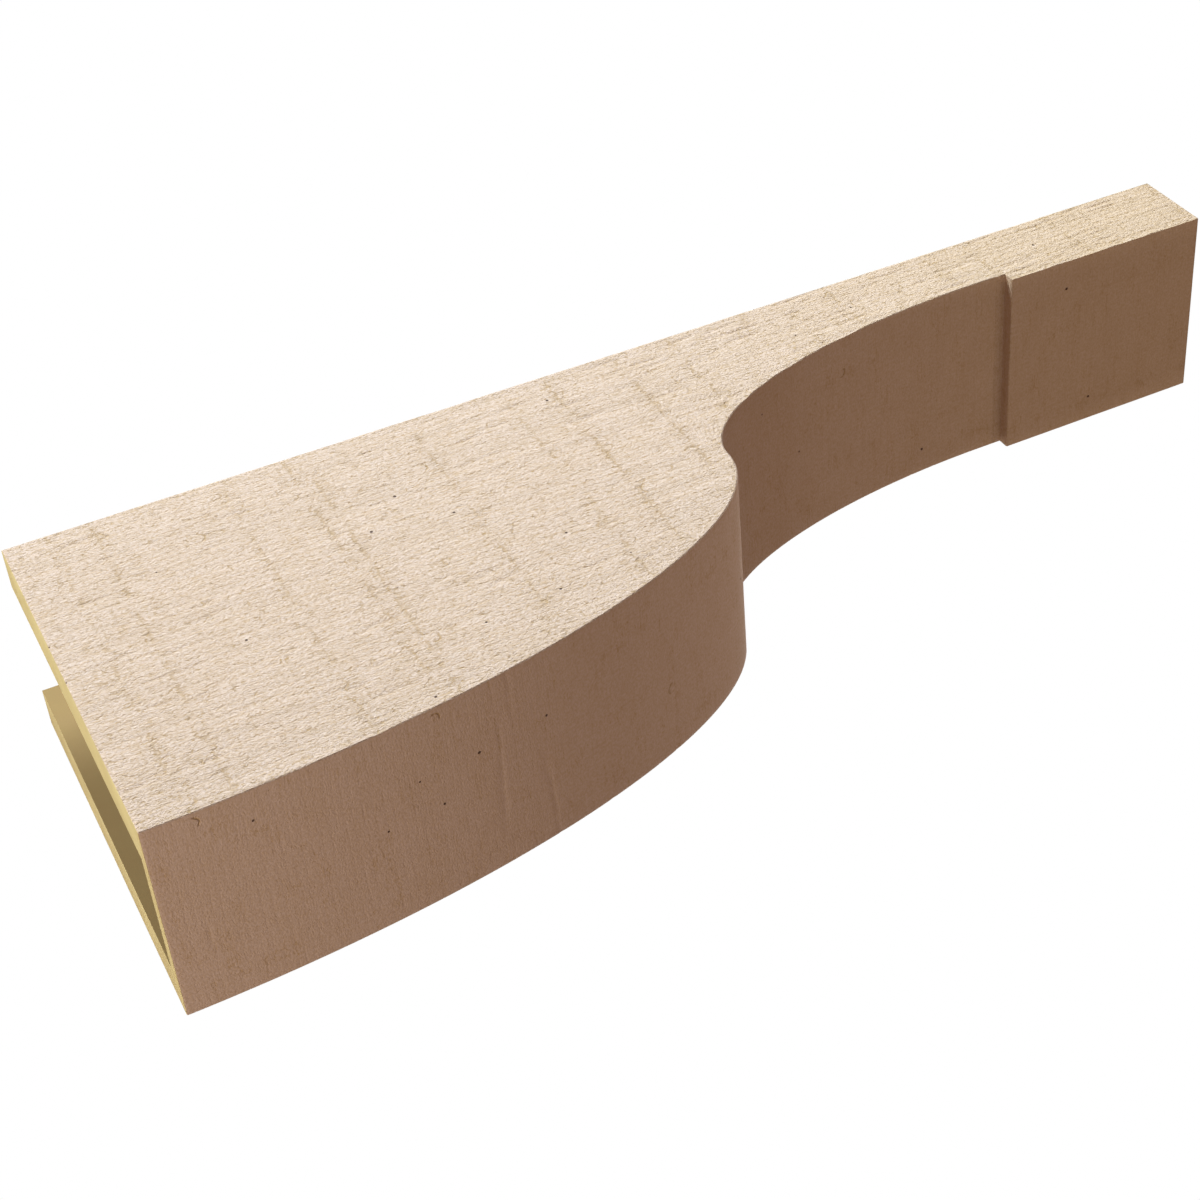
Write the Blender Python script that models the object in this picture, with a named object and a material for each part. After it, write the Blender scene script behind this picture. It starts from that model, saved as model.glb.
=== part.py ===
"""A corbel with a rafter-tail profile: a hollow moulding in rigid foam, with two flat side panels and a thin
soffit wall between them. It is open at its wall end and along its roof side, and closed at its tail.

X runs out from the wall, Y across the corbel and Z up to the roof. The origin is on the wall end, in the
middle of the soffit wall's thickness and width.
"""

import bmesh
import bpy
import numpy as np

# Driving dimensions, in metres
LENGTH = 0.6096  # wall end to the tail's tip
WIDTH = 0.1016  # over both side panels
HEIGHT = 0.2032  # the soffit's lowest line to the roof edge
BELLY_LENGTH = 0.3048  # wall end to the nose, where the soffit stands upright
BELLY_RISE = 0.1016  # the soffit's lowest line to the nose
CROWN_LAND = 0.0127  # the straight stretch between the neck's crown and the block
BLOCK_LENGTH = 0.1143  # the straight block at the tail
BLOCK_HEIGHT = 0.04445  # the block, from its soffit to the roof edge
BLOCK_STEP = 0.00635  # how far the block stands down from the neck's crown
SIDE_WALL = 0.0206  # each side panel
SOFFIT_WALL = 0.0086  # the wall along the soffit, between the side panels
TAIL_WALL = 0.0086  # the wall that closes the tail's tip

# How finely the two curves are cut into flats, and how far the cutter runs past an open side
BELLY_STEPS = 72
NECK_STEPS = 48
CLEAR = 0.02

# Heights above the soffit's lowest line, and the line's own height above the origin
BLOCK_SOFFIT = HEIGHT - BLOCK_HEIGHT
CROWN = BLOCK_SOFFIT + BLOCK_STEP
LOWEST = -SOFFIT_WALL / 2

# Places along the length
BLOCK_START = LENGTH - BLOCK_LENGTH
CROWN_START = BLOCK_START - CROWN_LAND

PRIMER = {"name": "primed_rough_sawn", "colour": (0.47, 0.27, 0.17, 1.0), "roughness": 0.85}
FOAM = {"name": "raw_foam", "colour": (0.62, 0.47, 0.19, 1.0), "roughness": 0.8}


def quarter_ellipse(centre, reach, rise, start, end, steps, outset):
    """Points along an ellipse between two angles, each moved out along the curve's own normal by outset."""
    angle = np.radians(np.linspace(start, end, steps + 1))
    along, up = np.cos(angle), np.sin(angle)
    point = np.column_stack((centre[0] + reach * along, centre[1] + rise * up))
    normal = np.column_stack((along / reach, up / rise))
    return point + outset * normal / np.linalg.norm(normal, axis=1)[:, None]


def soffit_line(inset):
    """The soffit's profile from the wall end to the block's step, moved into the moulding by inset.

    The belly is a quarter of an ellipse that bulges down, so the moulding lies inside it, and the neck is a
    quarter of an ellipse hollowed up into the moulding, which lies outside it. Both stand upright where they
    meet, at the nose.
    """
    belly_centre = (0.0, BELLY_RISE)
    neck_centre = (CROWN_START, BELLY_RISE)
    belly = quarter_ellipse(belly_centre, BELLY_LENGTH, BELLY_RISE, -90, 0, BELLY_STEPS, -inset)
    neck_reach = CROWN_START - BELLY_LENGTH
    neck_rise = CROWN - BELLY_RISE
    neck = quarter_ellipse(neck_centre, neck_reach, neck_rise, 180, 90, NECK_STEPS, inset)
    step = [(BLOCK_START + inset, CROWN + inset), (BLOCK_START + inset, BLOCK_SOFFIT + inset)]
    return [*map(tuple, belly), *map(tuple, neck[1:]), *step]


def outer_outline():
    """The side view of the whole corbel."""
    return [*soffit_line(0.0), (LENGTH, BLOCK_SOFFIT), (LENGTH, HEIGHT), (0.0, HEIGHT)]


def cavity_outline():
    """The side view of the hollow, which runs out past the wall end and the roof side."""
    floor = BLOCK_SOFFIT + SOFFIT_WALL
    end = LENGTH - TAIL_WALL
    top = HEIGHT + CLEAR
    return [(-CLEAR, SOFFIT_WALL), *soffit_line(SOFFIT_WALL), (end, floor), (end, top), (-CLEAR, top)]


def new_material(finish):
    """A Principled material of one colour and roughness."""
    material = bpy.data.materials.new(finish["name"])
    material.use_nodes = True
    shader = material.node_tree.nodes["Principled BSDF"]
    shader.inputs["Base Color"].default_value = finish["colour"]
    shader.inputs["Roughness"].default_value = finish["roughness"]
    shader.inputs["Metallic"].default_value = 0.0
    material.diffuse_color = finish["colour"]
    return material


def new_collection(name):
    """A collection linked to the scene."""
    collection = bpy.data.collections.new(name)
    bpy.context.scene.collection.children.link(collection)
    return collection


def slab(name, outline, thickness, collection):
    """A closed mesh of a side view drawn as a filled 2D curve, as thick as asked and centred on Y."""
    curve = bpy.data.curves.new(name, "CURVE")
    curve.dimensions = "2D"
    curve.fill_mode = "BOTH"
    curve.extrude = thickness / 2
    spline = curve.splines.new("POLY")
    spline.points.add(len(outline) - 1)
    for point, (along, up) in zip(spline.points, outline):
        point.co = (along, up + LOWEST, 0.0, 1.0)
    spline.use_cyclic_u = True

    drawn = bpy.data.objects.new(name + "_outline", curve)
    drawn.rotation_euler = (np.pi / 2, 0.0, 0.0)
    collection.objects.link(drawn)
    bpy.context.view_layer.update()

    evaluated = drawn.evaluated_get(bpy.context.evaluated_depsgraph_get())
    mesh = bpy.data.meshes.new_from_object(evaluated)
    mesh.name = name
    solid = bpy.data.objects.new(name, mesh)
    solid.matrix_world = drawn.matrix_world
    collection.objects.link(solid)
    bpy.data.objects.remove(drawn)
    bpy.data.curves.remove(curve)

    shape = bmesh.new()
    shape.from_mesh(mesh)
    bmesh.ops.remove_doubles(shape, verts=shape.verts, dist=0.00001)
    bmesh.ops.recalc_face_normals(shape, faces=shape.faces)
    shape.to_mesh(mesh)
    shape.free()
    return solid


def finish_faces(corbel, primer, foam):
    """Primer on the faces that show under the eaves, raw foam on the wall end and the roof edge."""
    corbel.data.materials.append(primer)
    corbel.data.materials.append(foam)
    for face in corbel.data.polygons:
        centre = corbel.matrix_world @ face.center
        at_wall = abs(centre.x) < SIDE_WALL / 100
        at_roof = abs(centre.z - (HEIGHT + LOWEST)) < SIDE_WALL / 100
        face.material_index = 1 if at_wall or at_roof else 0


def make_corbel():
    """The moulding: its outer shape, less the hollow between the side panels."""
    parts = new_collection("corbel")
    cutters = new_collection("cutters")
    primer = new_material(PRIMER)
    foam = new_material(FOAM)

    corbel = slab("corbel", outer_outline(), WIDTH, parts)
    finish_faces(corbel, primer, foam)

    hollow = slab("hollow", cavity_outline(), WIDTH - 2 * SIDE_WALL, cutters)
    hollow.data.materials.append(foam)
    hollow.hide_render = True
    hollow.display_type = "WIRE"

    cut = corbel.modifiers.new("hollow", "BOOLEAN")
    cut.operation = "DIFFERENCE"
    cut.solver = "EXACT"
    cut.material_mode = "TRANSFER"
    cut.object = hollow

    for solid in (corbel, hollow):
        solid.data.shade_smooth()
        solid.data.set_sharp_from_angle(angle=np.radians(20))
    return corbel


for leftover in list(bpy.data.objects):
    bpy.data.objects.remove(leftover)

make_corbel()
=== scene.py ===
# %% [markdown]
# A hollow corbel with a rough-sawn face
#
# The real corbel is one moulding in rigid foam. Two flat side panels and a thin wall along the soffit make a
# trough, which slips over a block of wood on the wall. The mould was taken from rough-sawn timber, so every
# outer face carries saw ridges, raised fibres and small tears, and it is sprayed with a matt tan primer.
# Where the moulding is open, at the wall end, along the roof edge and inside, the yellow foam is bare.
#
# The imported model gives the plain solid. This lesson makes the surface: one closed mesh, sewn from sheets
# whose points are worked out with numpy, which stands in the place of that solid.

import bpy
import numpy as np
from mathutils import Matrix, Vector


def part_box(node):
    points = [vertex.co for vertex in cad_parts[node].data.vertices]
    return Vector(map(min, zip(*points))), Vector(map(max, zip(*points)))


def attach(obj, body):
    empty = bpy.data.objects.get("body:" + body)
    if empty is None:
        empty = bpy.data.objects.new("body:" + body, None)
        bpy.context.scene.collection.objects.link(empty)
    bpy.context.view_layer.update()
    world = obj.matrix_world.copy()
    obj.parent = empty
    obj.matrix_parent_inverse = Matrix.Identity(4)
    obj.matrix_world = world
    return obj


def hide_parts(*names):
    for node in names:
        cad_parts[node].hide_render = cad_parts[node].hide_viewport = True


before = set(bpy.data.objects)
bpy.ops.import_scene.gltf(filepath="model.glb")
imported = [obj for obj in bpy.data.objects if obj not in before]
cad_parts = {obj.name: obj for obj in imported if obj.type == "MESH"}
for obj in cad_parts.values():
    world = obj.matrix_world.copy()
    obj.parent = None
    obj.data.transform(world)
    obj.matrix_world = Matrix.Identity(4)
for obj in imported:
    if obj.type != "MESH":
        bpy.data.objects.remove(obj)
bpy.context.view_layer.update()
low, high = (np.array(corner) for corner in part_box("corbel"))
LENGTH, WIDTH = (high - low)[:2]
LOWEST, ROOF = low[2], high[2]
print("corbel", np.round(high - low, 4), "m, lowest line at", round(float(LOWEST), 4))

# %% [markdown]
# The sizes of the profile
#
# X runs out from the wall, Y across and Z up to the roof. The outer box comes from the frame, so the surface
# can't drift from the solid, and the profile's own sizes are the real ones. The soffit bulges down in a
# quarter of an ellipse, the belly, stands upright at the nose, and is hollowed out in a second quarter, the
# neck. A short flat land leads to the tail block, which stands down by a small step.

# %% Name the sizes
BELLY_LENGTH = 0.3048
BELLY_RISE = 0.1016
CROWN_LAND = 0.0127
BLOCK_LENGTH = 0.1143
BLOCK_HEIGHT = 0.04445
BLOCK_STEP = 0.00635
SIDE_WALL = 0.0206
SOFFIT_WALL = 0.0086
TAIL_WALL = 0.0086
ARRIS = 0.0007

NOSE_HEIGHT = LOWEST + BELLY_RISE
BLOCK_SOFFIT = ROOF - BLOCK_HEIGHT
CROWN = BLOCK_SOFFIT + BLOCK_STEP
BLOCK_START = LENGTH - BLOCK_LENGTH
CROWN_START = BLOCK_START - CROWN_LAND
HALF = WIDTH / 2
HALF_HOLLOW = HALF - SIDE_WALL
print("nose at", BELLY_LENGTH, "m, step at", round(float(BLOCK_START), 4), "m")
print("hollow", round(2 * float(HALF_HOLLOW), 4), "m wide")

# %% [markdown]
# The camera
#
# The corbel's corners in the photograph fix where the camera stood, how long its lens was and how far the
# picture was shifted. It looks up at the soffit from one side, with the near side panel turned to the top of
# the picture, so the camera is rolled and its axes are written out in full.

# %% Place the camera
PHOTO_SIDE = 1200
FOCAL_PIXELS = 2344.55
CENTRE_PIXEL = (735.55, 544.94)
SENSOR = 36.0
CAMERA_PLACE = (-0.079515, -0.658913, -0.676075)
CAMERA_FORWARD = Vector((0.3543229, 0.6075546, 0.7108676))
CAMERA_RIGHT = Vector((0.8798312, 0.0409284, -0.4735208))


def make_camera():
    """A camera whose columns are its right, up and backward axes, shifted to put its axis at CENTRE_PIXEL."""
    data = bpy.data.cameras.new("camera")
    data.sensor_width = SENSOR
    data.lens = SENSOR * FOCAL_PIXELS / PHOTO_SIDE
    data.shift_x = 0.5 - CENTRE_PIXEL[0] / PHOTO_SIDE
    data.shift_y = CENTRE_PIXEL[1] / PHOTO_SIDE - 0.5
    up = CAMERA_RIGHT.cross(CAMERA_FORWARD).normalized()
    turn = Matrix((CAMERA_RIGHT, up, -CAMERA_FORWARD)).transposed().to_4x4()
    camera = bpy.data.objects.new("camera", data)
    camera.matrix_world = Matrix.Translation(CAMERA_PLACE) @ turn
    bpy.context.scene.collection.objects.link(camera)
    bpy.context.scene.camera = camera
    return camera


camera = make_camera()
print("lens", round(camera.data.lens, 2), "mm")

# %% [markdown]
# The grain's own coordinates
#
# Every pattern on the corbel follows the timber that the mould was taken from, so it is drawn in two
# coordinates, one along the grain and one across it. Timber is never quite straight. Three noises, from broad
# to fine, push the second coordinate about, and because the mesh and the materials both use the result, the
# ridges of the one and the fine scores of the other bend together.

# %% Bend the grain
MM = 0.001
TABLE = 256


def smooth_noise(along, across, cell_along, cell_across, seed):
    """Random heights from -1 to 1 on a table of cells, eased from one corner of a cell to the next."""
    table = np.random.default_rng(seed).uniform(-1, 1, (TABLE, TABLE))
    u, v = along / cell_along, across / cell_across
    i, j = np.floor(u).astype(int), np.floor(v).astype(int)
    s, t = u - i, v - j
    s, t = s * s * (3 - 2 * s), t * t * (3 - 2 * t)
    i, j = i % TABLE, j % TABLE
    k, m = (i + 1) % TABLE, (j + 1) % TABLE
    near = table[i, j] * (1 - s) + table[k, j] * s
    far = table[i, m] * (1 - s) + table[k, m] * s
    return near * (1 - t) + far * t


def bent(u, v):
    """Grain coordinates in metres: v is pushed up to three millimetres, slowly along u and faster across."""
    push = 1.5 * MM * smooth_noise(u, v, 95 * MM, 36 * MM, 7)
    push = push + 0.8 * MM * smooth_noise(u, v, 70 * MM, 6 * MM, 9)
    push = push + 0.35 * MM * smooth_noise(u, v, 14 * MM, 7 * MM, 8)
    return np.stack(np.broadcast_arrays(u, v + push), -1)


# %% [markdown]
# Sheets of points, and seams between them
#
# A sheet is a grid of points in space. Two neighbouring sheets often have a different number of points along
# the edge where they meet, because one carries finer detail. A seam closes the gap: it walks along both edges
# at once and always steps on the edge that has fallen behind, which leaves a neat row of triangles. Every
# sheet is kept at its plain, sharp place, with the small moves that ease its edges and carve its grain stored
# beside it, so points that meet can be found by their place and welded.

# %% Collect sheets and seams
PRIMER, CUT_FOAM, FOAM_SKIN = 0, 1, 2
FAR_SIDE_GRAIN = 5.0
patches = []


def facing_out(points, faces, outward):
    """The triangles, all turned over if together they face away from the outward directions."""
    across = np.cross(points[faces[:, 1]] - points[faces[:, 0]], points[faces[:, 2]] - points[faces[:, 0]])
    return faces if (across * outward[faces[:, 0]]).sum() > 0 else faces[:, ::-1]


def grid_faces(rows, columns):
    """Two triangles for each cell of a grid whose points are numbered row by row."""
    number = np.arange(rows * columns).reshape(rows, columns)
    a, b, c, d = number[:-1, :-1], number[1:, :-1], number[1:, 1:], number[:-1, 1:]
    return np.concatenate([np.stack([a, b, c], -1).reshape(-1, 3), np.stack([a, c, d], -1).reshape(-1, 3)])


def seam_faces(at_first, at_second):
    """Triangles between two rows of points, given how far along the seam each point lies.

    Each step belongs to the middle of the stretch that it crosses. Sorting those middles says which row steps
    next, and running sums say where both rows stand before each step.
    """
    middles = np.concatenate([(at_first[1:] + at_first[:-1]) / 2, (at_second[1:] + at_second[:-1]) / 2])
    order = np.argsort(middles, kind="stable")
    on_first = order < len(at_first) - 1
    i = np.cumsum(on_first) - on_first
    j = np.cumsum(~on_first) - ~on_first
    shift = len(at_first)
    return np.stack([i, j + shift, np.where(on_first, i + 1, j + 1 + shift)], -1)


def flat_grain(points, outward):
    """Bent grain coordinates on a flat face. The far panel's lie far from the near one's, so they differ."""
    x, y, z = points[..., 0], points[..., 1], points[..., 2]
    if abs(outward[1]) > 0.5:
        return bent(x + FAR_SIDE_GRAIN * (outward[1] > 0), z)
    if abs(outward[0]) > 0.5:
        return bent(z, y)
    return bent(x, y)


def add_sheet(points, outward, slot, grain=None, moves=None, depth=None, coarseness=1.0):
    """Keeps a grid of points and its triangles. Moves and depth say how points leave their plain places."""
    rows, columns = points.shape[:2]
    rest = points.reshape(-1, 3)
    out = np.broadcast_to(outward, points.shape).reshape(-1, 3)
    patches.append({
        "rest": rest,
        "faces": facing_out(rest, grid_faces(rows, columns), out),
        "outward": out,
        "grain": (flat_grain(points, outward) if grain is None else grain).reshape(-1, 2),
        "slot": slot,
        "moves": np.zeros_like(rest) if moves is None else moves.reshape(-1, 3),
        "depth": np.zeros(len(rest)) if depth is None else depth.reshape(-1),
        "coarseness": np.broadcast_to(coarseness, points.shape[:2]).reshape(-1),
        "votes": np.ones(len(rest)),
    })


def add_seam(first, second, outward, slot, at_first=None, at_second=None):
    """Joins two rows of points that sheets already hold, so its own copies have no vote on where they go."""
    at_first = np.linspace(0, 1, len(first)) if at_first is None else np.asarray(at_first, float)
    at_second = np.linspace(0, 1, len(second)) if at_second is None else np.asarray(at_second, float)
    rest = np.concatenate([first, second])
    out = np.broadcast_to(outward, rest.shape)
    patches.append({
        "rest": rest,
        "faces": facing_out(rest, seam_faces(at_first, at_second), out),
        "outward": out,
        "grain": flat_grain(rest, outward),
        "slot": slot,
        "moves": np.zeros_like(rest),
        "depth": np.zeros(len(rest)),
        "coarseness": np.zeros(len(rest)),
        "votes": np.zeros(len(rest)),
    })


# %% [markdown]
# Eased edges
#
# A moulded edge is never a knife edge: it has a small radius, and that thin round is what catches the light.
# Each sheet has extra rows of points close to its edges, and easing slides them onto the round. A point right
# on the edge moves to the middle of the round, and one a full radius away doesn't move at all.

# %% Ease the edges
EASED_AT = 0.4 * ARRIS
EASED_ROWS = np.array([0.0, EASED_AT])
INSIDE_ROUND = slice(2, -2)


def ease(outward, neighbours):
    """How far points near an edge move so that the edge becomes a round of radius ARRIS.

    Each neighbour is the outward direction of the face beyond an edge and the points' distances from it. The
    round's centre lies one radius inside both faces. The direction from it leans from the sheet's own outward
    direction towards the neighbour's by up to 45 degrees as the distance falls from one radius to nothing.
    """
    lean = [np.tan(np.pi / 4 * np.clip(1 - distance / ARRIS, 0, 1)) for _, distance in neighbours]
    size = np.sqrt(1 + sum(amount**2 for amount in lean))
    moves = (ARRIS / size - ARRIS)[..., None] * outward
    for (direction, distance), amount in zip(neighbours, lean):
        near = np.where(distance < ARRIS, distance - ARRIS + ARRIS * amount / size, 0.0)
        moves = moves + near[..., None] * np.asarray(direction, float)
    return moves


# %% [markdown]
# Rough-sawn relief
#
# The timber that the mould was taken from was cut by a band saw. Its teeth leave shallow ridges along the
# board that wander a little, the fibres between them stand up in short lengths, the blade chatters every few
# centimetres and leaves a ragged line across the board, and here and there a splinter has torn out. All of
# it is under a millimetre deep. It is worked out as a depth below the plain face, never above it, so the
# corbel keeps its real size.

# %% Carve the grain
def soft_step(value, start, end):
    """Nothing below start, one above end and an eased climb between them."""
    t = np.clip((value - start) / (end - start), 0, 1)
    return t * t * (3 - 2 * t)


RIDGE_PITCH, RIDGE_DEPTH = 3.9 * MM, 0.045 * MM
CHATTER_PITCH, CHATTER_WIDTH, CHATTER_DEPTH = 32 * MM, 1.1 * MM, 0.13 * MM


def saw_ridges(u, v, seed):
    """Rounded ridges along the grain, deepest halfway between two pitches, that fade out and come back."""
    wave = 0.5 - 0.5 * np.cos(2 * np.pi * v / RIDGE_PITCH)
    strength = 0.25 + 0.75 * soft_step(smooth_noise(u, v, 17 * MM, 6 * MM, seed), -0.5, 0.6)
    return RIDGE_DEPTH * wave * strength


def fibres(u, v, seed):
    """Short raised lengths of fibre in two sizes, over broad soft lumps."""
    coarse = smooth_noise(u, v, 8 * MM, 2.8 * MM, seed)
    fine = smooth_noise(u, v, 4.5 * MM, 1.6 * MM, seed + 1)
    lumps = smooth_noise(u, v, 18 * MM, 12 * MM, seed + 2)
    return 0.025 * MM * (1 + coarse) + 0.022 * MM * (1 + fine) + 0.04 * MM * (1 + lumps)


def chatter(u, v, seed):
    """Ragged lines across the grain, about one pitch apart, each showing only in stretches."""
    crooked_u = u + 9 * MM * smooth_noise(u, 0 * v, 70 * MM, 1.0, seed)
    crooked_u = crooked_u + 1.1 * MM * smooth_noise(0 * u, v, 1.0, 7 * MM, seed + 1)
    crooked_u = crooked_u + 0.6 * MM * smooth_noise(u, v, 5 * MM, 2.2 * MM, seed + 2)
    off_line = (crooked_u / CHATTER_PITCH - np.round(crooked_u / CHATTER_PITCH)) * CHATTER_PITCH
    shows = soft_step(smooth_noise(u, v, 30 * MM, 16 * MM, seed + 3), -0.1, 0.55)
    return CHATTER_DEPTH * shows * np.exp(-((off_line / CHATTER_WIDTH) ** 2))


def tears(u, v, seed, count, longest):
    """Splinters torn out along the grain. Each is a slightly crooked groove that fades at both ends."""
    pick = np.random.default_rng(seed)
    low_u, high_u, low_v, high_v = u.min(), u.max(), v.min(), v.max()
    depth = np.zeros_like(u)
    for _ in range(count):
        centre_u, centre_v = pick.uniform(low_u, high_u), pick.uniform(low_v, high_v)
        reach, deep = pick.uniform(4 * MM, longest), pick.uniform(0.3, 0.65) * MM
        slope, bend, width = pick.normal(0, 0.08), pick.uniform(-0.5, 0.5) * MM, pick.uniform(0.7, 1.1) * MM
        along = u - centre_u
        across = v - centre_v - slope * along - bend * np.sin(along / (2.5 * MM))
        fade = np.sqrt(np.clip(1 - (along / reach) ** 2, 0, 1))
        depth = np.maximum(depth, deep * fade * np.exp(-((across / width) ** 2)))
    return depth


def sawn_face(grain, seed, torn, longest):
    """The whole relief of a rough-sawn face over its grain coordinates."""
    u, v = grain[..., 0], grain[..., 1]
    ground = saw_ridges(u, v, seed) + fibres(u, v, seed + 10) + chatter(u, v, seed + 20)
    return ground + tears(u, v, seed + 30, torn, longest)


# %% [markdown]
# The soffit's profile
#
# The profile is two runs of an ellipse, a few straight stretches and small rounds at the corners. Points are
# spread evenly by length, because even cells take the grain evenly. An ellipse has no simple formula for
# that, so its length is summed over many short chords and the angles at even lengths are read back from it.

# %% Draw the profile
DENSE = 4001


def ellipse_run(centre, reach, rise, start, end, steps, lead=()):
    """Points at even lengths along an ellipse between two angles, with the unit vectors square to it.

    Lead is a few short distances from the start, put before the even steps, which then begin one radius in.
    """
    angle = np.radians(np.linspace(start, end, DENSE))
    chord = np.hypot(np.diff(reach * np.cos(angle)), np.diff(rise * np.sin(angle)))
    travelled = np.concatenate([[0], np.cumsum(chord)])
    first = ARRIS if len(lead) else 0.0
    at = np.interp(np.concatenate([lead, np.linspace(first, travelled[-1], steps + 1)]), travelled, angle)
    points = np.stack([centre[0] + reach * np.cos(at), centre[1] + rise * np.sin(at)], -1)
    square = np.stack([np.cos(at) / reach, np.sin(at) / rise], -1)
    return points, square / np.linalg.norm(square, axis=1, keepdims=True)


def straight_run(start, end, steps):
    """Evenly spaced points from start to end, with the end of the run before it left to that run."""
    return np.linspace(start, end, steps + 1)[1:]


def corner_round(centre, start, end, steps):
    """Points on a small round of radius ARRIS about a centre, with their outward directions."""
    angle = np.radians(np.linspace(start, end, steps + 1))[1:]
    outward = np.stack([np.cos(angle), np.sin(angle)], -1)
    return np.asarray(centre) + ARRIS * outward, outward


def belly_and_neck(belly_steps, neck_steps, inset, lead=()):
    """The two curves, moved into the moulding by inset, and the outward directions along them."""
    belly, belly_out = ellipse_run((0, NOSE_HEIGHT), BELLY_LENGTH, BELLY_RISE, -90, 0, belly_steps, lead)
    reach, rise = CROWN_START - BELLY_LENGTH, CROWN - NOSE_HEIGHT
    neck, neck_in = ellipse_run((CROWN_START, NOSE_HEIGHT), reach, rise, 180, 90, neck_steps)
    curve = np.concatenate([belly - inset * belly_out, (neck + inset * neck_in)[1:]])
    return curve, np.concatenate([belly_out, -neck_in[1:]])


FINE = 3
BELLY_CELLS, NECK_CELLS, LAND_CELLS, BLOCK_CELLS = 116, 68, 5, 39
STEP_CELLS, TAIL_CELLS, ROUND_CELLS = 6, 37, 4


def outer_profile():
    """The soffit from the wall end to the roof, point by point, with the outward directions.

    Each named stretch ends at the number of its last point, so seams can find their share of it.
    """
    curve, outward = belly_and_neck(FINE * BELLY_CELLS, FINE * NECK_CELLS, 0.0, EASED_ROWS)
    down, back, out = (0, -1), (-1, 0), (1, 0)
    step_low, tail_low, tail_high = BLOCK_SOFFIT + ARRIS, BLOCK_SOFFIT + ARRIS, ROOF - ARRIS
    heel, toe = (BLOCK_START + ARRIS, BLOCK_SOFFIT), (LENGTH - ARRIS, BLOCK_SOFFIT)
    runs = [
        ("land", straight_run(curve[-1], (BLOCK_START, CROWN), FINE * LAND_CELLS), down),
        ("riser", straight_run((BLOCK_START, CROWN), (BLOCK_START, step_low), STEP_CELLS), back),
        ("step", *corner_round((BLOCK_START + ARRIS, step_low), 180, 270, ROUND_CELLS)),
        ("block", straight_run(heel, toe, FINE * BLOCK_CELLS), down),
        ("toe", *corner_round((LENGTH - ARRIS, tail_low), 270, 360, ROUND_CELLS)),
        ("tail_low", straight_run((LENGTH, tail_low), (LENGTH, CROWN + ARRIS), STEP_CELLS), out),
        ("tail", straight_run((LENGTH, CROWN + ARRIS), (LENGTH, tail_high), TAIL_CELLS), out),
        ("top", *corner_round((LENGTH - ARRIS, tail_high), 0, 90, ROUND_CELLS)),
    ]
    ends = {"curve": len(curve) - 1}
    for name, points, facing in runs:
        ends[name] = len(curve) + len(points) - 1
        curve = np.concatenate([curve, points])
        outward = np.concatenate([outward, np.broadcast_to(facing, points.shape)])
    inner_corner = ends["land"]
    outward[inner_corner] = np.array([-1, -1]) / np.sqrt(2)
    return curve, outward, ends


profile, profile_out, ends = outer_profile()
profile_length = np.concatenate([[0], np.cumsum(np.linalg.norm(np.diff(profile, axis=0), axis=1))])
print("profile", len(profile), "points,", round(float(profile_length[-1]), 4), "m long")

# %% [markdown]
# The soffit ribbon
#
# Carried straight across the corbel, the profile sweeps a ribbon: the soffit, the step and the tail's end
# face. Its grain runs across the width, because the timber's end was sawn that way, so cells are short along
# the profile and long across it. The soffit is cut much finer than the sides. Its relief is shallow, and a
# coarseness from 0 to 1 tells the primer how rough each stretch is: smooth on the soffit, rougher at the step
# and as rough as the sides on the tail's end.

# %% Sweep the ribbon
RIBBON_CELLS = 38
SOFFIT_COARSENESS = 0.2
RISER_COARSENESS = 0.55
SOFFIT_RELIEF = 0.36
SOFFIT_SEED, SOFFIT_TEARS, SOFFIT_TEAR_REACH = 400, 30, 34 * MM


def xz_to_space(points, y):
    """Points of the side view, set at y."""
    return np.stack(np.broadcast_arrays(points[..., 0], y, points[..., 1]), -1)


def ribbon_places():
    """Places across the width: two rows close to each edge for the round, and even cells between."""
    even = np.linspace(-HALF + ARRIS, HALF - ARRIS, RIBBON_CELLS + 1)
    return np.concatenate([-HALF + EASED_ROWS, even, HALF - EASED_ROWS[::-1]])


def add_ribbon():
    """The profile carried across the width, eased at both sides and at the wall end, and carved."""
    y = ribbon_places()
    points = xz_to_space(profile[:, None], y[None])
    outward = xz_to_space(profile_out[:, None], 0 * y[None])
    s, across = np.broadcast_arrays(profile_length[:, None], y[None])
    moves = ease(outward, [((0, 1, 0), HALF - across), ((0, -1, 0), HALF + across), ((-1, 0, 0), s)])
    grain = bent(across, s)
    depth = SOFFIT_RELIEF * sawn_face(grain, SOFFIT_SEED, SOFFIT_TEARS, SOFFIT_TEAR_REACH)
    coarseness = np.full(len(profile), SOFFIT_COARSENESS)
    coarseness[ends["land"] - 2 * FINE:ends["step"]] = RISER_COARSENESS
    coarseness[ends["toe"]:] = 1.0
    add_sheet(points, outward, PRIMER, grain, moves, depth, coarseness[:, None])
    return points


ribbon = add_ribbon()
print("ribbon", ribbon.shape[:2], "points")

# %% [markdown]
# The side panels
#
# A side panel is ruled with straight columns from the soffit's line up to the roof. The columns are long at
# the wall end and short at the tail, so as they shorten the number of points in them is halved, twice, which
# keeps the cells about one millimetre high. The block hangs a little below the line that the columns stand
# on, and a narrow strip fills that. The panel's lower edge stays one radius inside the ribbon's edge, and a
# seam of fine triangles rounds the corner between them.

# %% Rule the panels
WALL_ROWS = 192
NOSE_LEAN = 0.026
HALVE_AT = (BELLY_CELLS + 2, BELLY_CELLS + 2 + 30)
NEAR_SEED, FAR_SEED, SIDE_TEARS, SIDE_TEAR_REACH = 100, 200, 60, 15 * MM
SWELL, SWELL_SEED, RIM_CLEAR = 0.2 * MM, 300, 12 * MM


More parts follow.
